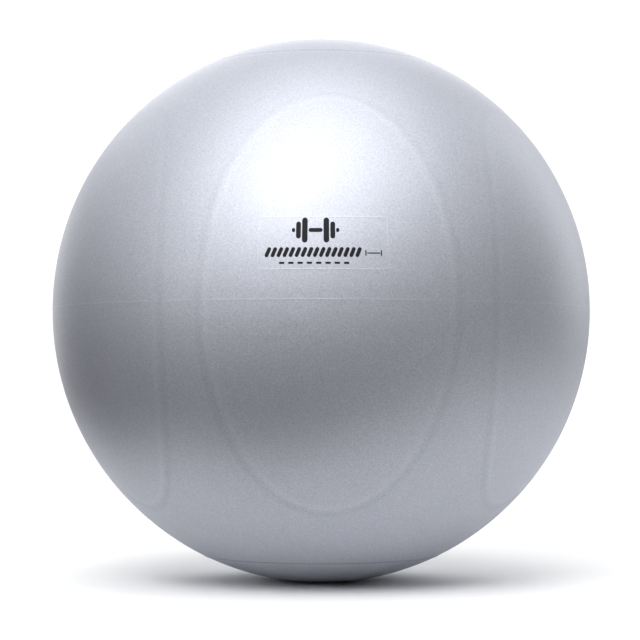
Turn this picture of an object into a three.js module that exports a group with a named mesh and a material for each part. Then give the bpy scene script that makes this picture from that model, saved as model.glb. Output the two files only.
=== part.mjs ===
// Exercise ball of 75 cm nominal size, inflated and standing on a flat floor.
// Millimetres, +Z up. The origin is on the floor under the middle of the ball, and the
// printed side of the ball faces -Y. Every piece is round about the Z axis, so each one is
// a profile of (radius, height) points turned about that axis.
import * as THREE from 'three';

// The skin.
const BALL_HEIGHT = 750; // floor to the top of the skin
const TALLNESS = 1.0115; // height over width of the skin where nothing presses on it
const REST_RADIUS = 36; // the flat patch that the ball's weight presses onto the floor
const WALL = 0.8; // vinyl stretched by the air inside
const SKIN_SEGMENTS = 60; // flat faces round the ball
const SKIN_BANDS = 28; // rows of faces from the floor to the valve

// The valve in the top of the skin.
const OPENING_RADIUS = 13; // hole in the skin for the seat
const CLEARANCE = 0.3; // gap between neighbouring pieces
const FLANGE_RADIUS = 22; // the seat's flange, bonded to the inside of the skin
const FLANGE_THICKNESS = 1.8;
const PAD_RADIUS = 24; // the skin has one row of faces just over the flange
const DISH_RADIUS = 9.8; // shallow dish that the plug's head sits in
const DISH_DEPTH = 1.1;
const BORE_TOP_RADIUS = 4.7; // the bore narrows inwards, so the air holds the plug tight
const BORE_END_RADIUS = 4.1;
const BORE_CHAMFER = 0.5;
const BOSS_RADIUS = 8.2; // thick tube round the bore
const BOSS_END_RADIUS = 7.2;
const SEAT_LENGTH = 27; // top of the seat to the inner end of the boss
const VALVE_SEGMENTS = 40;

// The plug.
const HEAD_RADIUS = 9.2;
const HEAD_THICKNESS = 2.1;
const HEAD_ROUNDING = 0.7;
const HEAD_DOME = 0.4;
const PLUG_LENGTH = 24; // underside of the head to the tip
const NECK_LENGTH = 3.2; // plain stem between the head and the first rib
const RIB_COUNT = 5;
const RIB_PITCH = 3.6;
const RIB_HEIGHT = 0.9; // how far a rib stands out from the stem
const TIP_CHAMFER = 1.2;
const TIP_HOLE_RADIUS = 1.7; // blind hole that lets the ribs flex
const TIP_HOLE_DEPTH = 19;

// The spheroid that fits the height, once its foot is cut off by the floor.
const footSpread = REST_RADIUS * TALLNESS;
const polarRadius = (BALL_HEIGHT ** 2 + footSpread ** 2) / (2 * BALL_HEIGHT);
const waistRadius = polarRadius / TALLNESS;
const centreHeight = BALL_HEIGHT - polarRadius;

// Height over the ball's middle at a radius, on the skin's outside (inset 0) or its inside.
function rise(radius, inset) {
  return (polarRadius - inset) * Math.sqrt(1 - (radius / (waistRadius - inset)) ** 2);
}

const landHeight = centreHeight + rise(OPENING_RADIUS, 0); // level of the seat's top
const dishHeight = landHeight - DISH_DEPTH;
const seatEnd = landHeight - SEAT_LENGTH;

function boreRadius(height) {
  const share = (dishHeight - height) / (dishHeight - seatEnd);
  return BORE_TOP_RADIUS + share * (BORE_END_RADIUS - BORE_TOP_RADIUS);
}

// A side of the skin from the floor up to the pad round the valve, in even steps of angle.
function skinSide(inset) {
  const footRise = inset - centreHeight;
  const lowest = Math.asin(footRise / (polarRadius - inset));
  const highest = Math.acos(PAD_RADIUS / (waistRadius - inset));
  const side = [];
  for (let band = 0; band <= SKIN_BANDS; band += 1) {
    const angle = lowest + (highest - lowest) * (band / SKIN_BANDS);
    side.push([
      (waistRadius - inset) * Math.cos(angle),
      centreHeight + (polarRadius - inset) * Math.sin(angle),
    ]);
  }
  side.push([OPENING_RADIUS, centreHeight + rise(OPENING_RADIUS, inset)]);
  return side;
}

function skinProfile() {
  return [[0, 0], ...skinSide(0), ...skinSide(WALL).reverse(), [0, WALL]];
}

// The seat: a collar level with the skin, a flange behind it and a boss with a tapered bore.
function seatProfile() {
  const collar = OPENING_RADIUS - CLEARANCE;
  const flangeTop = centreHeight + rise(FLANGE_RADIUS, WALL) - CLEARANCE;
  const flangeRoot = landHeight - WALL - CLEARANCE;
  const flangeUnder = flangeRoot - FLANGE_THICKNESS;
  return [
    [collar, landHeight],
    [DISH_RADIUS, landHeight],
    [DISH_RADIUS, dishHeight],
    [BORE_TOP_RADIUS + BORE_CHAMFER, dishHeight],
    [boreRadius(dishHeight - BORE_CHAMFER), dishHeight - BORE_CHAMFER],
    [BORE_END_RADIUS, seatEnd],
    [BOSS_END_RADIUS, seatEnd],
    [BOSS_RADIUS, flangeUnder - BORE_CHAMFER],
    [BOSS_RADIUS + BORE_CHAMFER, flangeUnder],
    [FLANGE_RADIUS, flangeTop - FLANGE_THICKNESS / 3],
    [FLANGE_RADIUS, flangeTop],
    [collar, flangeRoot],
    [collar, landHeight],
  ];
}

// The plug, from the bottom of the blind hole in its tip up to the middle of its head.
function plugProfile() {
  const under = dishHeight + CLEARANCE;
  const top = under + HEAD_THICKNESS;
  const tip = under - PLUG_LENGTH;
  const stem = (height) => boreRadius(height) - CLEARANCE - RIB_HEIGHT;
  const points = [
    [0, tip + TIP_HOLE_DEPTH],
    [TIP_HOLE_RADIUS, tip + TIP_HOLE_DEPTH],
    [TIP_HOLE_RADIUS, tip],
    [stem(tip) - TIP_CHAMFER / 2, tip],
    [stem(tip), tip + TIP_CHAMFER],
  ];
  for (let rib = RIB_COUNT - 1; rib >= 0; rib -= 1) {
    const crest = under - NECK_LENGTH - rib * RIB_PITCH;
    points.push([stem(crest) + RIB_HEIGHT, crest]);
    points.push([stem(crest), crest + RIB_HEIGHT / 2]);
  }
  points.push([stem(under) + RIB_HEIGHT / 2, under]);
  points.push([HEAD_RADIUS, under]);
  points.push([HEAD_RADIUS, top - HEAD_ROUNDING]);
  points.push([HEAD_RADIUS - HEAD_ROUNDING, top]);
  points.push([HEAD_RADIUS / 2, top + HEAD_DOME * 0.75]);
  points.push([0, top + HEAD_DOME]);
  return points;
}

// A profile turned about Z.
function turned(profile, segments) {
  const points = profile.map(([radius, height]) => new THREE.Vector2(radius, height));
  return new THREE.LatheGeometry(points, segments).rotateX(Math.PI / 2);
}

function part(name, profile, segments, material) {
  const mesh = new THREE.Mesh(turned(profile, segments), material);
  mesh.name = name;
  return mesh;
}

const silverVinyl = new THREE.MeshStandardMaterial({
  color: 0xb6b8c1, roughness: 0.45, metalness: 0,
});
const greyVinyl = new THREE.MeshStandardMaterial({
  color: 0x9498a2, roughness: 0.5, metalness: 0,
});
const palePlastic = new THREE.MeshStandardMaterial({
  color: 0xb5b7b9, roughness: 0.4, metalness: 0,
});

const ball = new THREE.Group();
ball.add(
  part('ball_shell', skinProfile(), SKIN_SEGMENTS, silverVinyl),
  part('valve_seat', seatProfile(), VALVE_SEGMENTS, greyVinyl),
  part('valve_plug', plugProfile(), VALVE_SEGMENTS, palePlastic),
);

export default ball;
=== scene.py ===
"""Looks of a 75 cm exercise ball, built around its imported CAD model.

Everything is in metres, in the model's own frame: +Z up, the floor at z = 0, and the printed
side of the ball facing -Y. The skin is one fine mesh whose moulded lines are real relief.
Its vertices lie in rows along each line, so that the lines are sharp without a huge mesh.
"""
import math

import bpy
import numpy as np
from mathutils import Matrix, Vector
from mathutils.geometry import delaunay_2d_cdt


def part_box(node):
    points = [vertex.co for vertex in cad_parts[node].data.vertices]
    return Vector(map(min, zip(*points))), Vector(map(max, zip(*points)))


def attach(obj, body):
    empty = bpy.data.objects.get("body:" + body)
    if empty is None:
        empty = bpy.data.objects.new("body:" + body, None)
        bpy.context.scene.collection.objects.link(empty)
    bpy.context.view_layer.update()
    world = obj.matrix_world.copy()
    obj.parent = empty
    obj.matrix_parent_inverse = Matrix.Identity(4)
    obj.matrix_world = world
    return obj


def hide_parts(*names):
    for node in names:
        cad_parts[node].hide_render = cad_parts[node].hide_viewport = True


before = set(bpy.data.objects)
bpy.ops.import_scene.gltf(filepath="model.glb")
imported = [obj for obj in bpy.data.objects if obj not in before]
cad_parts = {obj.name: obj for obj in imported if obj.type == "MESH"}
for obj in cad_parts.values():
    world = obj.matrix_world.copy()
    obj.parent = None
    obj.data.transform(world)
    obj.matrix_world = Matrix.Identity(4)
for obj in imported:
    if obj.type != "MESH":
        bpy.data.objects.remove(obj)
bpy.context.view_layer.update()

MM = 0.001
SKIN_LOW, SKIN_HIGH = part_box("ball_shell")
SEAT_LOW, SEAT_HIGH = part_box("valve_seat")
PLUG_LOW, PLUG_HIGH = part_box("valve_plug")

# The ball's body: a slightly tall spheroid whose foot is pressed flat on the floor.
TALLNESS = 1.0115
REST_RADIUS = 36 * MM
WAIST = (SKIN_HIGH.x - SKIN_LOW.x) / 2
POLAR = WAIST * TALLNESS
CENTRE = POLAR * math.sqrt(1 - (REST_RADIUS / WAIST) ** 2)
WALL = 0.8 * MM
OPENING = 13 * MM

# The moulded lines. Each has a half width, in which its relief rises and falls, and a height.
PANELS = 6
PANEL_HALF_WIDTH = 159.5 * MM
PANEL_HALF_HEIGHT = 264.5 * MM
PANEL_LINE = (10.0 * MM, 0.18 * MM)
PANEL_DEPTH = 0.12 * MM
POLAR_RING_RADIUS = 162 * MM
POLAR_LINE = (4.0 * MM, 0.4 * MM)
PARTING_HEIGHT = 1.5 * MM
PARTING_LINE = (1.5 * MM, 0.07 * MM)
PLATE_HALF_WIDTH = 82.5 * MM
PLATE_HALF_HEIGHT = 32.3 * MM
PLATE_CORNER = 4 * MM
PLATE_MIDDLE = (-8.5 * MM, 70.3 * MM)
PLATE_LINE = (1.5 * MM, 0.10 * MM)
PAD_RADIUS = 31 * MM
PAD_LINE = (3.0 * MM, 0.5 * MM)

# Painted light and shade beside each line, in place of the shading of its relief: the offset from the
# line, the half width and the change. The lighter bands are a painted highlight on the rims, the darker
# ones a painted shade along their feet.
PANEL_PAINTED_SHADING = ((-8 * MM, 6 * MM, 0.05), (3 * MM, 8 * MM, -0.075))
POLAR_PAINTED_SHADING = ((-3.2 * MM, 3 * MM, 0.12), (2.6 * MM, 3.4 * MM, -0.30))
PLATE_PAINTED_HIGHLIGHT = ((0, 1.5 * MM, 0.04),)
PARTING_PAINTED_HIGHLIGHT = ((0, 1.5 * MM, 0.09),)
# The ovals' painted highlight and shade has this strength at their middle height. It rises by the
# second number to their lowest point and falls by it to their highest, so the painting is strongest low
# on the ball.
PANEL_PAINTED_SHADING_STRENGTH = (0.65, 0.35)

# The mesh: distances between vertices on the open skin and along the lines, the least distance
# between any two, and how much of the open spacing stays free beside a line's rows.
OPEN_SPACING = 9.0 * MM
ALONG_SPACING = 6.0 * MM
CLOSEST = 0.6 * MM
FREE_SHARE = 0.35
# Rows of vertices on each side of a line's middle. They run a little past the relief's edge, and
# a polar ring's rows reach as far as its bands.
PANEL_ROWS = 6
PLATE_ROWS = 3
PARTING_ROWS = 3
POLAR_ROWS = 5
PAD_ROWS = 4
ROWS_REACH = 1.15
POLAR_REACH = 5.6 * MM
INNER_LEVELS = 28
OUTLINE_STEPS = 720
# The skin's map is cut along a meridian at the back, halfway between two panels.
SEAM = math.radians(-150)


def meridian_radius(lat):
    """Radius of the spheroid's curve from pole to pole, where lat is its parametric latitude."""
    return np.sqrt((WAIST * np.sin(lat)) ** 2 + (POLAR * np.cos(lat)) ** 2)


def bare_skin(az, lat):
    """Point and outward normal of the skin without relief. Azimuth 0 faces -Y, 90 degrees +X."""
    ring = WAIST * np.cos(lat)
    point = np.stack([ring * np.sin(az), -ring * np.cos(az), POLAR * np.sin(lat)], -1)
    normal = point / np.array([WAIST ** 2, WAIST ** 2, POLAR ** 2])
    return point, normal / np.linalg.norm(normal, axis=-1, keepdims=True)


def hump(distance, half_width):
    """1 on a line, and a smooth fall to 0 on both sides of it."""
    share = np.clip(np.abs(distance) / half_width, 0, 1)
    return (1 - share ** 2) ** 2


def bead(distance, line):
    """A rounded ridge along a line."""
    half_width, height = line
    return height * hump(distance, half_width)


def painted_bands(distance, bands):
    """The painted highlight and painted shade bands beside a line."""
    return sum(change * hump(distance - offset, half_width) for offset, half_width, change in bands)


def smooth_step(share):
    """0 below 0, 1 above 1, and a smooth rise between."""
    share = np.clip(share, 0, 1)
    return share * share * (3 - 2 * share)


def panel_distance(point):
    """Signed distance to the nearest oval line, below zero inside the oval."""
    az = np.arctan2(point[..., 0], -point[..., 1])
    step = 2 * math.pi / PANELS
    local = az - step * np.round(az / step)
    ring = np.hypot(point[..., 0], point[..., 1])
    across, up = ring * np.sin(local), point[..., 2]
    size = np.sqrt((across / PANEL_HALF_WIDTH) ** 2 + (up / PANEL_HALF_HEIGHT) ** 2)
    size = np.maximum(size, 1e-6)
    # The slope of size along the skin: its change in space less the part along the normal.
    slope_across = across / PANEL_HALF_WIDTH ** 2 / size
    slope_up = up / PANEL_HALF_HEIGHT ** 2 / size
    depth = ring * np.cos(local)
    normal = np.stack([across / WAIST ** 2, depth / WAIST ** 2, up / POLAR ** 2], -1)
    normal /= np.linalg.norm(normal, axis=-1, keepdims=True)
    along_normal = slope_across * normal[..., 0] + slope_up * normal[..., 2]
    slope = np.sqrt(np.maximum(slope_across ** 2 + slope_up ** 2 - along_normal ** 2, 1e-9))
    return (size - 1) / slope


def plate_distance(point):
    """Signed distance to the rounded rectangle round the print, large on the far side."""
    az = np.arctan2(point[..., 0], -point[..., 1])
    across = np.abs(az * WAIST - PLATE_MIDDLE[0]) - PLATE_HALF_WIDTH + PLATE_CORNER
    up = np.abs(point[..., 2] - PLATE_MIDDLE[1]) - PLATE_HALF_HEIGHT + PLATE_CORNER
    outside = np.hypot(np.maximum(across, 0), np.maximum(up, 0))
    return outside + np.minimum(np.maximum(across, up), 0) - PLATE_CORNER


def relief(point):
    """Height of the moulded relief over the bare skin."""
    ring = np.hypot(point[..., 0], point[..., 1])
    lat = np.arctan2(point[..., 2] / POLAR, ring / WAIST)
    from_panel = panel_distance(point)
    height = bead(from_panel, PANEL_LINE)
    height = height - PANEL_DEPTH * smooth_step(0.5 - from_panel / PANEL_LINE[0] / 2)
    height = height + bead(plate_distance(point), PLATE_LINE)
    height = height + bead((lat - PARTING_LAT) * WAIST, PARTING_LINE)
    for side in (1, -1):
        height = height + bead((lat - side * POLAR_RING_LAT) * WAIST, POLAR_LINE)
    pad = smooth_step((PAD_RADIUS + PAD_LINE[0] / 2 - ring) / PAD_LINE[0])
    return height + np.where(point[..., 2] > 0, PAD_LINE[1] * pad, 0)


def painted_line_shading(az, lat):
    """How much lighter or darker each point is painted than the open skin: a painted highlight and
    shade beside the lines, in place of the shading of their relief.
    """
    point, _ = bare_skin(az, lat)
    middle, rise = PANEL_PAINTED_SHADING_STRENGTH
    strength = middle - rise * np.clip(point[..., 2] / PANEL_HALF_HEIGHT, -1, 1)
    painted_shading = strength * painted_bands(panel_distance(point), PANEL_PAINTED_SHADING)
    painted_shading = painted_shading + painted_bands(plate_distance(point), PLATE_PAINTED_HIGHLIGHT)
    painted_shading = painted_shading + painted_bands((lat - PARTING_LAT) * WAIST, PARTING_PAINTED_HIGHLIGHT)
    for side in (1, -1):
        painted_shading = painted_shading + painted_bands((lat - side * POLAR_RING_LAT) * WAIST, POLAR_PAINTED_SHADING)
    return painted_shading


PARTING_LAT = math.asin(PARTING_HEIGHT / POLAR)
POLAR_RING_LAT = math.acos(POLAR_RING_RADIUS / WAIST)
PAD_LAT = math.acos(PAD_RADIUS / WAIST)
LOW_LAT = -math.acos(REST_RADIUS / WAIST)
HIGH_LAT = math.acos(OPENING / WAIST)


def skin_point(az, lat):
    """Point of the finished skin, in the model's frame."""
    point, normal = bare_skin(az, lat)
    point = point + normal * relief(point)[..., None]
    point[..., 2] += CENTRE
    return point


def skin_normal(az, lat):
    """Outward normal of the finished skin, from its slopes both ways."""
    step = 0.1 * MM
    az_step = step / (WAIST * np.cos(lat))
    lat_step = step / meridian_radius(lat)
    east = skin_point(az + az_step, lat) - skin_point(az - az_step, lat)
    north = skin_point(az, lat + lat_step) - skin_point(az, lat - lat_step)
    normal = np.cross(east, north)
    return normal / np.linalg.norm(normal, axis=-1, keepdims=True)


def row_offsets(half_width, rows):
    """Distances from a line at which a row of vertices runs, closest together on its flanks."""
    edge = half_width * ROWS_REACH
    return [edge * math.sin(math.pi / 2 * i / rows) for i in range(-rows, rows + 1)]


def wrapped(az):
    """The same azimuth, counted from the seam."""
    return (az - SEAM) % (2 * math.pi) + SEAM


def level_row(lat, spacing, shift=0.0):
    """Points round the ball at one latitude. Unshifted rows have a point on each side of the seam."""
    count = PANELS * max(1, round(2 * math.pi * WAIST * math.cos(lat) / spacing / PANELS))
    last = count + (0 if shift else 1)
    return [(SEAM + 2 * math.pi * (i + shift) / count, lat) for i in range(last)]


def offset_points(az, lat, distances):
    """Rows beside a closed line, each at its own distance to the line's right."""
    point, normal = bare_skin(az, lat)
    along = np.roll(point, -1, 0) - np.roll(point, 1, 0)
    sideways = np.cross(along, normal)
    sideways /= np.linalg.norm(sideways, axis=-1, keepdims=True)
    rows = []
    for distance in distances:
        moved = point + sideways * distance
        ring = np.hypot(moved[:, 0], moved[:, 1])
        moved_az = wrapped(np.arctan2(moved[:, 0], -moved[:, 1]))
        moved_lat = np.arctan2(moved[:, 2] / POLAR, ring / WAIST)
        rows += list(zip(moved_az, moved_lat))
    return rows


def even_steps(az, lat, spacing):
    """A closed line again, with its points the same distance apart."""
    point, _ = bare_skin(az, lat)
    lengths = np.linalg.norm(np.roll(point, -1, 0) - point, axis=-1)
    walked = np.concatenate([[0], np.cumsum(lengths)])
    wanted = np.linspace(0, walked[-1], round(walked[-1] / spacing), endpoint=False)
    return (np.interp(wanted, walked, np.append(az, az[0])),
            np.interp(wanted, walked, np.append(lat, lat[0])))


def oval_rows():
    """Rows of vertices along all the ovals."""
    turn = np.linspace(0, 2 * math.pi, OUTLINE_STEPS, endpoint=False)
    across, up = PANEL_HALF_WIDTH * np.cos(turn), PANEL_HALF_HEIGHT * np.sin(turn)
    lat = np.arcsin(up / POLAR)
    az = np.arcsin(across / (WAIST * np.cos(lat)))
    az, lat = even_steps(az, lat, ALONG_SPACING)
    rows = []
    for panel in range(PANELS):
        shifted = az + 2 * math.pi * panel / PANELS
        rows += offset_points(shifted, lat, row_offsets(PANEL_LINE[0], PANEL_ROWS))
    return rows


def plate_rows():
    """Rows of vertices along the rounded rectangle."""
    turn = np.linspace(0, 2 * math.pi, OUTLINE_STEPS, endpoint=False)
    corner = np.round(turn / (math.pi / 2) - 0.5) * (math.pi / 2) + math.pi / 4
    across = np.sign(np.cos(corner)) * (PLATE_HALF_WIDTH - PLATE_CORNER)
    up = np.sign(np.sin(corner)) * (PLATE_HALF_HEIGHT - PLATE_CORNER)
    az = (PLATE_MIDDLE[0] + across + PLATE_CORNER * np.cos(turn)) / WAIST
    lat = np.arcsin((PLATE_MIDDLE[1] + up + PLATE_CORNER * np.sin(turn)) / POLAR)
    az, lat = even_steps(az, lat, ALONG_SPACING / 2)
    return offset_points(az, lat, row_offsets(PLATE_LINE[0], PLATE_ROWS))


def level_rows():
    """Rows of vertices along the lines that run level round the ball, and the pad's edge."""
    rows = []
    lines = [(PARTING_LAT, PARTING_LINE[0], PARTING_ROWS), (POLAR_RING_LAT, POLAR_REACH, POLAR_ROWS),
             (-POLAR_RING_LAT, POLAR_REACH, POLAR_ROWS)]
    for lat, half_width, count in lines:
        for distance in row_offsets(half_width, count):
            rows += level_row(lat + distance / WAIST, ALONG_SPACING)
    for distance in row_offsets(PAD_LINE[0] / 2, PAD_ROWS):
        rows += level_row(PAD_LAT + distance / WAIST, ALONG_SPACING / 2)
    return rows


def end_rows():
    """The closed rows at the foot and the opening."""
    return level_row(LOW_LAT, OPEN_SPACING / 2) + level_row(HIGH_LAT, OPEN_SPACING / 5)


def open_rows():
    """The rest of the skin, in staggered rows, with the closed rows at its ends."""
    length = (HIGH_LAT - LOW_LAT) * (WAIST + POLAR) / 2
    count = round(length / (OPEN_SPACING * math.sqrt(3) / 2))
    rows = end_rows()
    for row in range(1, count):
        lat = LOW_LAT + (HIGH_LAT - LOW_LAT) * row / count
        rows += level_row(lat, OPEN_SPACING, shift=0.5 if row % 2 else 0.0)
    return rows


def line_clearance(az, lat):
    """How far each point is outside the nearest line's relief."""
    point, _ = bare_skin(az, lat)
    clear = np.abs(panel_distance(point)) - PANEL_LINE[0]
    clear = np.minimum(clear, np.abs(plate_distance(point)) - PLATE_LINE[0])
    clear = np.minimum(clear, np.abs(lat - PARTING_LAT) * WAIST - PARTING_LINE[0])
    clear = np.minimum(clear, np.abs(np.abs(lat) - POLAR_RING_LAT) * WAIST - POLAR_REACH)
    return np.minimum(clear, np.abs(lat - PAD_LAT) * WAIST - PAD_LINE[0] / 2)


def spread_out(rows):
    """The rows' points, without any that lies almost on an earlier one."""
    kept, cells = [], {}
    for az, lat in rows:
        ring = WAIST * math.cos(lat)
        place = np.array([ring * math.sin(az), ring * math.cos(az), POLAR * math.sin(lat)])
        seam_side = az > SEAM + math.pi
        cell = tuple(np.floor(place / CLOSEST).astype(int))
        near = [cells.get((cell[0] + i, cell[1] + j, cell[2] + k, seam_side))
                for i in (-1, 0, 1) for j in (-1, 0, 1) for k in (-1, 0, 1)]
        if all(other is None or np.linalg.norm(other - place) > CLOSEST for other in near):
            cells[cell + (seam_side,)] = place
            kept.append((az, lat))
    return kept


def map_height(lat):
    """Height in a map that keeps angles, so that triangles stay well shaped everywhere."""
    return np.arcsinh(np.tan(lat))


def skin_map():
    """Azimuth, latitude and triangles of the skin, unrolled from the foot to the opening."""
    rows = end_rows() + oval_rows() + plate_rows() + level_rows()
    fill = np.array(open_rows())
    clear = line_clearance(fill[:, 0], fill[:, 1]) > OPEN_SPACING * FREE_SHARE
    rows += [tuple(place) for place in fill[clear]]
    place = np.array(spread_out(rows))
    flat = [Vector((az, height)) for az, height in zip(place[:, 0], map_height(place[:, 1]))]
    points, _, faces, origin, _, _ = delaunay_2d_cdt(flat, [], [], 0, 1e-7)
    source = [first[0] for first in origin]
    return place[source, 0], place[source, 1], np.array(faces)


def without_seam(az, lat, faces):
    """Joins the map's last meridian to its first. Returns what is left."""
    last = az > SEAM + 2 * math.pi - 1e-6
    first_at = {round(lat[i], 7): i for i in np.flatnonzero(az < SEAM + 1e-6)}
    target = np.arange(len(az))
    for i in np.flatnonzero(last):
        target[i] = first_at[round(lat[i], 7)]
    kept = np.flatnonzero(~last)
    renumber = np.full(len(az), -1)
    renumber[kept] = np.arange(len(kept))
    return az[kept], lat[kept], renumber[target[faces]]


def level_ring(az, lat, level):
    """Numbers of the points at one latitude, in order round the ball."""
    ring = np.flatnonzero(np.abs(lat - level) < 1e-6)
    return ring[np.argsort(az[ring])]


def new_object(name, points, faces, material, smooth=True):
    """A mesh object in the scene."""
    mesh = bpy.data.meshes.new(name)
    mesh.from_pydata([tuple(p) for p in points], [], [tuple(int(i) for i in f) for f in faces])
    mesh.validate()
    mesh.materials.append(material)
    if smooth:
        mesh.shade_smooth()
    else:
        mesh.shade_flat()
    piece = bpy.data.objects.new(name, mesh)
    bpy.context.scene.collection.objects.link(piece)
    return piece


def set_normals(mesh, normals, faces_with_own):
    """Gives the corners of some faces their vertices' exact normals and leaves the rest as they are."""
    corners = np.zeros(len(mesh.loops), dtype=int)
    mesh.loops.foreach_get("vertex_index", corners)
    starts = np.zeros(len(mesh.polygons), dtype=int)
    mesh.polygons.foreach_get("loop_start", starts)
    counts = np.zeros(len(mesh.polygons), dtype=int)
    mesh.polygons.foreach_get("loop_total", counts)
    own = np.repeat(faces_with_own, counts)
    wanted = np.zeros((len(corners), 3))
    wanted[own] = normals[corners[own]]
    mesh.normals_split_custom_set(wanted.tolist())


def make_skin(material):
    """The hollow skin: relief outside, a plain wall inside, open at the valve and flat at the foot."""
    az, lat, faces = without_seam(*skin_map())
    outer = skin_point(az, lat)
    normals = skin_normal(az, lat)
    rim = level_ring(az, lat, HIGH_LAT)
    foot = level_ring(az, lat, LOW_LAT)
    outer[foot, 2] = 0
    points, polygons = list(outer), [tuple(face) for face in faces]

    points.append((0, 0, 0))
    foot_middle = len(points) - 1
    for i, here in enumerate(foot):
        polygons.append((foot_middle, foot[(i + 1) % len(foot)], here))

    last_ring = list(rim)
    for level in np.linspace(HIGH_LAT, LOW_LAT, INNER_LEVELS):
        at = np.full(len(rim), level)
        point, normal = bare_skin(az[rim], at)
        point = point - normal * WALL
        point[:, 2] = np.maximum(point[:, 2] + CENTRE, WALL)
        ring = list(range(len(points), len(points) + len(rim)))
        points += list(point)
        for i in range(len(rim)):
            after = (i + 1) % len(rim)
            polygons.append((last_ring[i], last_ring[after], ring[after], ring[i]))
        last_ring = ring
    points.append((0, 0, WALL))
    for i in range(len(last_ring)):
        polygons.append((last_ring[i], last_ring[(i + 1) % len(last_ring)], len(points) - 1))

    piece = new_object("skin", points, polygons, material)
    padded = np.zeros((len(points), 3))
    padded[:len(outer)] = normals
    own = np.zeros(len(polygons), dtype=bool)
    own[:len(faces)] = True
    set_normals(piece.data, padded, own)
    # The painted highlight and shade beside the lines, kept per point for the skin's colour.
    painted_shading = np.zeros(len(points))
    painted_shading[:len(outer)] = painted_line_shading(az, lat)
    piece.data.attributes.new("painted_line_shading", "FLOAT", "POINT").data.foreach_set("value", painted_shading)
    return piece


def rounded(corners, steps=5):
    """A closed outline of (radius, height, fillet) corners, with each fillet as an arc."""
    outline = []
    for i, (x, y, fillet) in enumerate(corners):
        here = Vector((x, y))
        before = Vector(corners[i - 1][:2]) - here
        after = Vector(corners[(i + 1) % len(corners)][:2]) - here
        if not fillet:
            outline.append(here)
            continue
        half = before.angle(after) / 2
        reach = min(fillet / math.tan(half), before.length * 0.49, after.length * 0.49)
        start, end = here + before.normalized() * reach, here + after.normalized() * reach
        inward = (before.normalized() + after.normalized()).normalized()
        middle = here + inward * (reach / math.cos(half))
        radius = reach * math.tan(half)
        for step in range(steps + 1):
            mixed = (start - middle).lerp(end - middle, step / steps).normalized()
            outline.append(middle + mixed * radius)
    return outline


def turned(name, outline, segments, material, shape=None):
    """Turns a closed outline, listed anticlockwise with the axis on the left, about the Z axis."""
    points, polygons, rings = [], [], []
    for x, y in outline:
        if x < 1e-9:
            rings.append([len(points)] * segments)
            points.append((0, 0, y))
            continue
        rings.append(list(range(len(points), len(points) + segments)))
        for i in range(segments):
            turn = 2 * math.pi * i / segments
            points.append((x * math.cos(turn), x * math.sin(turn), y))
    for ring, following in zip(rings, rings[1:] + rings[:1]):
        for i in range(segments):
            after = (i + 1) % segments
            corners = [ring[i], ring[after], following[after], following[i]]
            corners = [c for k, c in enumerate(corners) if c != corners[k - 1]]
            if len(corners) > 2:
                polygons.append(corners)
    if shape:
        points = [shape(Vector(point)) for point in points]
    return new_object(name, points, polygons, material)


# The print: a generic mark of plain shapes, as thin ink on the skin inside the plate's outline.
# The film's inner points keep clear of its outline by a share of their spacing.
INK_THICKNESS = 0.12 * MM
INK_SPACING = 1.5 * MM
INK_CLEARANCE = 0.4


def bar_outline(x0, y0, x1, y1, width, count=10):
    """A straight bar with round ends."""
    heading = math.atan2(y1 - y0, x1 - x0)
    outline = []
    for x, y, turn in ((x1, y1, heading - math.pi / 2), (x0, y0, heading + math.pi / 2)):
        for i in range(count + 1):
            angle = turn + math.pi * i / count
            outline.append((x + width / 2 * math.cos(angle), y + width / 2 * math.sin(angle)))
    return outline


def mark_shapes():
    """The outline of every inked shape, in metres from the middle of the front: along the skin to
    the right, and up."""
    shapes = []
    # A dumbbell: a bar, with two plates and a stub at each end and small gaps between them. Each
    # is given by its distance from the middle, half height and width.
    x, y = -18.2 * MM, 86.2 * MM
    half_bar, bar_width = 6.3 * MM, 5 * MM
    shapes.append(bar_outline(x - half_bar, y, x + half_bar, y, bar_width))
    for side in (-1, 1):
        for away, half_height, width in ((13.5, 15.5, 7), (21.5, 10.5, 6), (27.7, 2.6, 4)):
            plate_x = x + side * away * MM
            reach = (half_height - width / 2) * MM
            shapes.append(bar_outline(plate_x, y - reach, plate_x, y + reach, width * MM))
    # A band of slanted strokes.
    strokes, first, pitch = 16, -79 * MM, 7.5 * MM
    width, slant = 4.7 * MM, 3.2 * MM
    low, high = 52.8 * MM + width / 2, 65.1 * MM - width / 2
    for i in range(strokes):
        left = first + i * pitch
        shapes.append(bar_outline(left, low, left + slant, high, width))
    # A row of short dashes.
    dashes, first, pitch = 8, -62 * MM, 11.4 * MM
    length, width, level = 4.4 * MM, 2.6 * MM, 45.7 * MM
    for i in range(dashes):
        left = first + i * pitch
        shapes.append(bar_outline(left, level, left + length, level, width))
    # A small width sign: a line between two ticks.
    level, tick_low, tick_high = 58 * MM, 55 * MM, 61 * MM
    shapes.append(bar_outline(46 * MM, level, 62 * MM, level, 1.3 * MM))
    for end in (44.2 * MM, 63.8 * MM):
        shapes.append(bar_outline(end, tick_low, end, tick_high, 1.4 * MM))
    return shapes


def inside_outline(x, y, outline):
    """Whether a point is inside a closed outline."""
    inside = False
    for (x0, y0), (x1, y1) in zip(outline, outline[1:] + outline[:1]):
        if (y0 > y) != (y1 > y) and x < x0 + (y - y0) / (y1 - y0) * (x1 - x0):
            inside = not inside
    return inside


def divided(outline):
    """The outline with its long sides cut into short ones, so that its edges follow the skin."""
    points = []
    for (x0, y0), (x1, y1) in zip(outline, outline[1:] + outline[:1]):
        steps = math.ceil(math.hypot(x1 - x0, y1 - y0) / INK_SPACING)
        points += [(x0 + (x1 - x0) * i / steps, y0 + (y1 - y0) * i / steps) for i in range(steps)]
    return points


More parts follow.
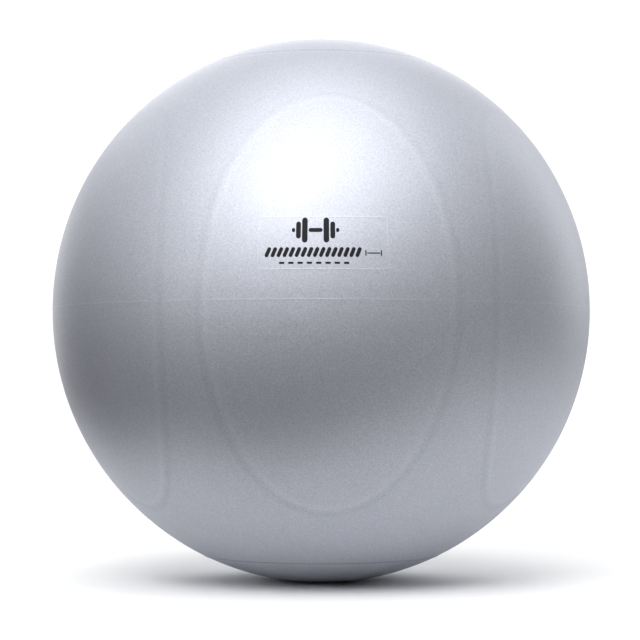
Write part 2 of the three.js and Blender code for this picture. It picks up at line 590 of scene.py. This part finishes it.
def ink_film(outline):
    """Flat triangles that fill an outline, with inner points so that the film follows the skin."""
    outline = divided(outline)
    count = len(outline)
    edges = [(i, (i + 1) % count) for i in range(count)]
    points, corners = list(outline), np.array(outline)
    low, high = corners.min(0), corners.max(0)
    columns, rows = (int((high[k] - low[k]) / INK_SPACING) for k in (0, 1))
    for i in range(1, columns + 1):
        for j in range(1, rows + 1):
            x = low[0] + (high[0] - low[0]) * i / (columns + 1)
            y = low[1] + (high[1] - low[1]) * j / (rows + 1)
            nearest = np.hypot(corners[:, 0] - x, corners[:, 1] - y).min()
            if nearest > INK_SPACING * INK_CLEARANCE and inside_outline(x, y, outline):
                points.append((x, y))
    flat, _, faces, _, _, _ = delaunay_2d_cdt([Vector(p) for p in points], edges, [], 0, 1e-9)
    kept = []
    for face in faces:
        x, y = sum((flat[i] for i in face), Vector((0, 0))) / 3
        if inside_outline(x, y, outline):
            kept.append(face)
    return [tuple(p) for p in flat], kept


def make_print(material):
    """The ink: each shape is a closed film, from just under the skin's surface to just over it."""
    points, polygons = [], []
    for outline in mark_shapes():
        flat, faces = ink_film(outline)
        flat = np.array(flat)
        az = flat[:, 0] / WAIST
        lat = np.arcsin(flat[:, 1] / POLAR)
        bottom = skin_point(az, lat)
        outward = skin_normal(az, lat)
        first = len(points)
        points += list(bottom + outward * INK_THICKNESS) + list(bottom - outward * INK_THICKNESS)
        under = first + len(flat)
        sides = []
        for face in faces:
            polygons.append(tuple(first + i for i in face))
            polygons.append(tuple(under + i for i in reversed(face)))
            sides += zip(face, face[1:] + face[:1])
        all_sides = set(sides)
        for a, b in sides:
            if (b, a) not in all_sides:
                polygons.append((first + b, first + a, under + a, under + b))
    return new_object("front_print", points, polygons, material, smooth=False)


# The valve. Its heights are counted from the seat's top and from the plug's top and tip.
SEAT_TOP = SEAT_HIGH.z
SEAT_BOTTOM = SEAT_LOW.z
SEAT_FLANGE = SEAT_HIGH.x
PLUG_TIP = PLUG_LOW.z
PLUG_TOP = PLUG_HIGH.z
HEAD = PLUG_HIGH.x
DISH_FLOOR = SEAT_TOP - 1.1 * MM
BORE_TOP = 4.7 * MM
BORE_END = 4.1 * MM
PLUG_GAP = 0.3 * MM
VALVE_SEGMENTS = 96


def bore_radius(height):
    """The tapered bore's radius at a height."""
    return BORE_END + (BORE_TOP - BORE_END) * (height - SEAT_BOTTOM) / (DISH_FLOOR - SEAT_BOTTOM)


def make_seat(material):
    """The port: a boss round the bore, a flange behind the skin and a rim round the dish. Its
    corners, like the stopper's, are (radius, height, fillet)."""
    corners = [
        (BORE_END + 0.15 * MM, SEAT_BOTTOM, 0.3 * MM),
        (7.2 * MM, SEAT_BOTTOM, 0.8 * MM),
        (8.2 * MM, SEAT_TOP - 3.4 * MM, 1.2 * MM),
        (SEAT_FLANGE, SEAT_TOP - 2.13 * MM, 0.25 * MM),
        (SEAT_FLANGE, SEAT_TOP - 1.55 * MM, 0.25 * MM),
        (OPENING - 0.3 * MM, SEAT_TOP - 1.15 * MM, 0),
        (OPENING - 0.3 * MM, SEAT_TOP, 0.5 * MM),
        (10.6 * MM, SEAT_TOP, 0.35 * MM),
        (9.9 * MM, DISH_FLOOR, 0.35 * MM),
        (BORE_TOP + 0.5 * MM, DISH_FLOOR, 0.4 * MM),
        (BORE_TOP, DISH_FLOOR - 0.6 * MM, 0.4 * MM),
    ]
    return turned("valve_port", rounded(corners), VALVE_SEGMENTS, material)


def make_plug(material):
    """The stopper: a hollow, ribbed stem under a low head with a dished top and a thumb notch."""
    underside = DISH_FLOOR + PLUG_GAP
    neck_end = underside - 3.2 * MM
    hole_top = underside - 5 * MM
    ribs, pitch, rib_height = 5, 3.6 * MM, 0.9 * MM
    crest = [(bore_radius(neck_end - i * pitch) - PLUG_GAP, neck_end - i * pitch) for i in range(ribs)]
    corners = [
        (0, hole_top, 0),
        (1.7 * MM, hole_top, 0.4 * MM),
        (1.8 * MM, PLUG_TIP, 0.15 * MM),
        (2.7 * MM, PLUG_TIP, 0.4 * MM),
    ]
    for radius, height in reversed(crest):
        stem = radius - rib_height
        corners += [
            (stem, height - 1.6 * MM, 0.3 * MM),
            (radius, height - 0.35 * MM, 0.2 * MM),
            (radius, height + 0.25 * MM, 0.2 * MM),
            (stem, height + 0.9 * MM, 0.3 * MM),
        ]
    neck = bore_radius(underside) - 2 * PLUG_GAP
    corners += [
        (neck, underside - 1.5 * MM, 0.5 * MM),
        (neck, underside, 0.3 * MM),
        (HEAD - 0.3 * MM, underside, 0.3 * MM),
        (HEAD, underside + 1.0 * MM, 0.4 * MM),
        (HEAD - 0.4 * MM, PLUG_TOP - 0.15 * MM, 0.7 * MM),
        (HEAD - 2.6 * MM, PLUG_TOP, 0.4 * MM),
        (HEAD - 3.4 * MM, PLUG_TOP - 0.5 * MM, 0.4 * MM),
        (1.9 * MM, PLUG_TOP - 0.5 * MM, 0.2 * MM),
        (1.6 * MM, PLUG_TOP - 0.3 * MM, 0.15 * MM),
        (0, PLUG_TOP - 0.28 * MM, 0),
    ]

    def notched(point):
        """Presses a shallow thumb notch into one side of the head's rim."""
        half_angle, depth = math.radians(24), 1.0 * MM
        turn = math.atan2(point.x, -point.y)
        share = max(0, 1 - (turn / half_angle) ** 2)
        ring = math.hypot(point.x, point.y)
        outside = min(1, max(0, (ring - HEAD + 2.2 * MM) / (1.6 * MM)))
        high = min(1, max(0, (point.z - underside - 0.2 * MM) / (1.2 * MM)))
        point.z -= depth * share * outside * high
        return point

    return turned("valve_stopper", rounded(corners), VALVE_SEGMENTS, material, notched)


def new_material(name):
    """A material with its shader and a helper that adds and links a node."""
    material = bpy.data.materials.new(name)
    material.use_nodes = True
    tree = material.node_tree
    shader = tree.nodes["Principled BSDF"]

    def node(kind, inputs=(), **settings):
        made = tree.nodes.new(kind)
        for key, value in settings.items():
            setattr(made, key, value)
        for key, value in inputs:
            if isinstance(value, bpy.types.NodeSocket):
                tree.links.new(value, made.inputs[key])
            else:
                made.inputs[key].default_value = value
        return made

    def link(socket, key):
        tree.links.new(socket, shader.inputs[key])

    return material, shader, node, link


def noise(node, place, scale, detail=2.0, roughness=0.5):
    """The value of a noise, from 0 to 1."""
    texture = node("ShaderNodeTexNoise", [("Vector", place), ("Scale", scale), ("Detail", detail),
                                          ("Roughness", roughness)])
    return texture.outputs["Fac"]


def ramp(node, value, low, high):
    """The value taken from 0...1 to low...high."""
    return node("ShaderNodeMapRange", [("Value", value), ("To Min", low), ("To Max", high)]).outputs[0]


def two_tones(node, value, dark, light):
    """A colour between two, by the value."""
    mixed = node("ShaderNodeMix", data_type="RGBA")
    mixed.id_data.links.new(value, mixed.inputs["Factor"])
    mixed.inputs["A"].default_value = (*dark, 1)
    mixed.inputs["B"].default_value = (*light, 1)
    return mixed.outputs["Result"]


def bump(node, height, depth, below=None):
    """Fine relief of a depth in metres, on top of an earlier bump where there is one."""
    inputs = [("Height", height), ("Strength", 1.0), ("Distance", depth)]
    if below:
        inputs.append(("Normal", below))
    return node("ShaderNodeBump", inputs).outputs[0]


def skin_material():
    """Silver-grey PVC with a pearly sheen and a fine satin grain."""
    material, shader, node, link = new_material("silver_vinyl")
    place = node("ShaderNodeTexCoord").outputs["Object"]
    clouds = noise(node, place, 7, 4, 0.6)
    speckle = noise(node, place, 540, 2, 0.6)
    grain = noise(node, place, 950, 2, 0.6)
    waves = noise(node, place, 26, 1, 0.4)
    silver = two_tones(node, clouds, (0.452, 0.466, 0.519), (0.480, 0.495, 0.551))
    flecks = node("ShaderNodeMapRange", [("Value", speckle), ("From Min", 0.25), ("From Max", 0.75),
                                         ("To Min", 0.8), ("To Max", 1.2)])
    # The lines' painted highlight and shade is added to the speckle's random tone, and together they
    # scale the base colour.
    lines = node("ShaderNodeAttribute", attribute_name="painted_line_shading")
    speckle_and_painted_shading = node("ShaderNodeMath", [(0, flecks.outputs[0]), (1, lines.outputs["Fac"])], operation="ADD")
    shade = node("ShaderNodeVectorMath", [("Vector", silver), ("Scale", speckle_and_painted_shading.outputs[0])],
                 operation="SCALE")
    link(shade.outputs[0], "Base Color")
    shader.inputs["Metallic"].default_value = 0.58
    link(ramp(node, speckle, 0.50, 0.66), "Roughness")
    broad = bump(node, waves, 0.4 * MM)
    pebbles = bump(node, speckle, 0.12 * MM, broad)
    link(bump(node, grain, 0.03 * MM, pebbles), "Normal")
    return material


def moulded_material(name, cloud_scale, grain_scale, grain_depth, dark, light, roughness, metallic):
    """A plain moulded plastic with faint clouds and a fine grain."""
    material, shader, node, link = new_material(name)
    place = node("ShaderNodeTexCoord").outputs["Object"]
    clouds = noise(node, place, cloud_scale, 3, 0.6)
    grain = noise(node, place, grain_scale, 2, 0.6)
    link(two_tones(node, clouds, dark, light), "Base Color")
    shader.inputs["Metallic"].default_value = metallic
    link(ramp(node, clouds, *roughness), "Roughness")
    link(bump(node, grain, grain_depth), "Normal")
    return material


def port_material():
    """The same vinyl, moulded thick: a little darker and smoother."""
    return moulded_material("grey_vinyl", cloud_scale=120, grain_scale=1600, grain_depth=0.02 * MM,
                            dark=(0.34, 0.35, 0.385), light=(0.42, 0.43, 0.475),
                            roughness=(0.36, 0.52), metallic=0.3)


def plug_material():
    """Pale grey moulded polyethylene with faint flow marks."""
    return moulded_material("pale_polyethylene", cloud_scale=160, grain_scale=2400,
                            grain_depth=0.01 * MM, dark=(0.44, 0.45, 0.46), light=(0.49, 0.50, 0.51),
                            roughness=(0.28, 0.42), metallic=0)


def ink_material():
    """Charcoal screen-printing ink, slightly thin in places."""
    material, shader, node, link = new_material("charcoal_ink")
    place = node("ShaderNodeTexCoord").outputs["Object"]
    thin = noise(node, place, 420, 4, 0.7)
    link(two_tones(node, thin, (0.008, 0.0085, 0.010), (0.022, 0.023, 0.026)), "Base Color")
    link(ramp(node, thin, 0.55, 0.72), "Roughness")
    shader.inputs["Specular IOR Level"].default_value = 0.12
    link(bump(node, thin, 0.03 * MM), "Normal")
    return material


# The floor sheet's outline, anticlockwise from its far left corner.
FLOOR_OUTLINE = [(-1.6, 2.0), (-0.62, 0.1), (-0.46, -0.2), (-0.40, -0.33), (0.15, -0.52), (0.9, -0.62),
                 (1.7, 0.1), (2.2, 2.2)]


def make_floor():
    """A plain pale sheet. It ends a little in front of the ball, so that the ball's middle mirrors
    the dark room and its lower part mirrors the sheet. Both the sheet's edge and the backdrop past
    it are plain white, so the edge doesn't show."""
    material, shader, node, link = new_material("pale_floor")
    place = node("ShaderNodeTexCoord").outputs["Object"]
    patches = noise(node, place, 3, 2, 0.5)
    link(two_tones(node, patches, (0.87, 0.87, 0.87), (0.89, 0.89, 0.89)), "Base Color")
    shader.inputs["Roughness"].default_value = 1.0
    shader.inputs["Specular IOR Level"].default_value = 0
    corners = [(x, y, 0) for x, y in FLOOR_OUTLINE]
    floor = new_object("floor_sheet", corners, [range(len(corners))], material, smooth=False)


# The room's light comes in above the horizon: none below the first height, as a share of straight
# up, and all of it from the second. Only the camera sees the backdrop.
ROOM_LIGHT = 0.40
HORIZON = (0.08, 0.25)
BACKDROP_LIGHT = 1.1


def make_world():
    """White behind everything the camera sees, and a dim room overhead for the light on the ball."""
    world = bpy.data.worlds.new("studio")
    bpy.context.scene.world = world
    world.use_nodes = True
    tree = world.node_tree
    room = tree.nodes["Background"]
    room.inputs["Color"].default_value = (0.96, 0.98, 1.0, 1)
    heading = tree.nodes.new("ShaderNodeTexCoord")
    split = tree.nodes.new("ShaderNodeSeparateXYZ")
    overhead = tree.nodes.new("ShaderNodeMapRange")
    overhead.inputs["From Min"].default_value = HORIZON[0]
    overhead.inputs["From Max"].default_value = HORIZON[1]
    overhead.inputs["To Max"].default_value = ROOM_LIGHT
    tree.links.new(heading.outputs["Generated"], split.inputs[0])
    tree.links.new(split.outputs["Z"], overhead.inputs["Value"])
    tree.links.new(overhead.outputs[0], room.inputs["Strength"])
    backdrop = tree.nodes.new("ShaderNodeBackground")
    backdrop.inputs["Color"].default_value = (1, 1, 1, 1)
    backdrop.inputs["Strength"].default_value = BACKDROP_LIGHT
    path = tree.nodes.new("ShaderNodeLightPath")
    mixed = tree.nodes.new("ShaderNodeMixShader")
    tree.links.new(path.outputs["Is Camera Ray"], mixed.inputs[0])
    tree.links.new(room.outputs[0], mixed.inputs[1])
    tree.links.new(backdrop.outputs[0], mixed.inputs[2])
    tree.links.new(mixed.outputs[0], tree.nodes["World Output"].inputs["Surface"])


# Each softbox: its name, azimuth and elevation in degrees, width, height and brightness.
SOFTBOX_DISTANCE = 2.6
SOFTBOXES = [
    ("key_front", -15, 35, 1.5, 1.2, 6.05),
    ("key_left", -35, 50, 1.5, 1.2, 3.0),
    ("key_right", 25, 50, 1.5, 1.2, 3.45),
    ("top", 0, 78, 1.6, 1.6, 2.5),
    ("low_left", -50, 12, 1.0, 0.8, 3.0),
    ("back", 180, 30, 2.0, 1.2, 3.4),
    ("back_left", -145, 5, 1.0, 1.0, 3.0),
    ("back_left_high", -138, 35, 1.0, 1.0, 1.6),
    ("back_right", 125, 10, 1.0, 1.0, 2.9),
    ("back_right_high", 125, 32, 1.0, 1.0, 2.3),
]


def make_softbox(name, azimuth, elevation, width, height, brightness):
    """A soft light aimed at the ball's middle. Azimuth 0 is in front, and 90 degrees is at +X."""
    light = bpy.data.lights.new(name, "AREA")
    light.shape = "RECTANGLE"
    light.size = width
    light.size_y = height
    light.energy = math.pi * width * height * brightness
    turn, rise = math.radians(azimuth), math.radians(elevation)
    away = Vector((math.sin(turn) * math.cos(rise), -math.cos(turn) * math.cos(rise), math.sin(rise)))
    lamp = bpy.data.objects.new(name, light)
    lamp.location = Vector((0, 0, CENTRE)) + away * SOFTBOX_DISTANCE
    lamp.rotation_euler = (-away).to_track_quat("-Z", "Y").to_euler()
    lamp.visible_camera = False
    bpy.context.scene.collection.objects.link(lamp)


CAMERA_DISTANCE = 7.7 * WAIST
CAMERA_RISE = math.radians(-2.0)
CAMERA_TURN = math.radians(1.72)
CAMERA_AIM = Vector((-1.7 * MM, 0, CENTRE - 12.7 * MM))
SENSOR_WIDTH = 36
FOCAL_LENGTH = 115.4


def make_camera():
    """Low in front of the ball and a touch to its left, looking slightly up."""
    camera = bpy.data.cameras.new("view")
    camera.sensor_width = SENSOR_WIDTH
    camera.lens = FOCAL_LENGTH
    holder = bpy.data.objects.new("view", camera)
    bpy.context.scene.collection.objects.link(holder)
    holder.location = (-CAMERA_DISTANCE * math.cos(CAMERA_RISE) * math.sin(CAMERA_TURN),
                       -CAMERA_DISTANCE * math.cos(CAMERA_RISE) * math.cos(CAMERA_TURN),
                       CENTRE + CAMERA_DISTANCE * math.sin(CAMERA_RISE))
    holder.rotation_euler = (CAMERA_AIM - holder.location).to_track_quat("-Z", "Y").to_euler()
    bpy.context.scene.camera = holder


make_camera()
make_world()
make_floor()
for softbox in SOFTBOXES:
    make_softbox(*softbox)

skin = make_skin(skin_material())
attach(skin, "ball")
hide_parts("ball_shell")

front_print = make_print(ink_material())
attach(front_print, "ball")

seat = make_seat(port_material())
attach(seat, "ball")
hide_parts("valve_seat")

plug = make_plug(plug_material())
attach(plug, "plug")
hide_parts("valve_plug")

bpy.context.scene.view_settings.view_transform = "Standard"
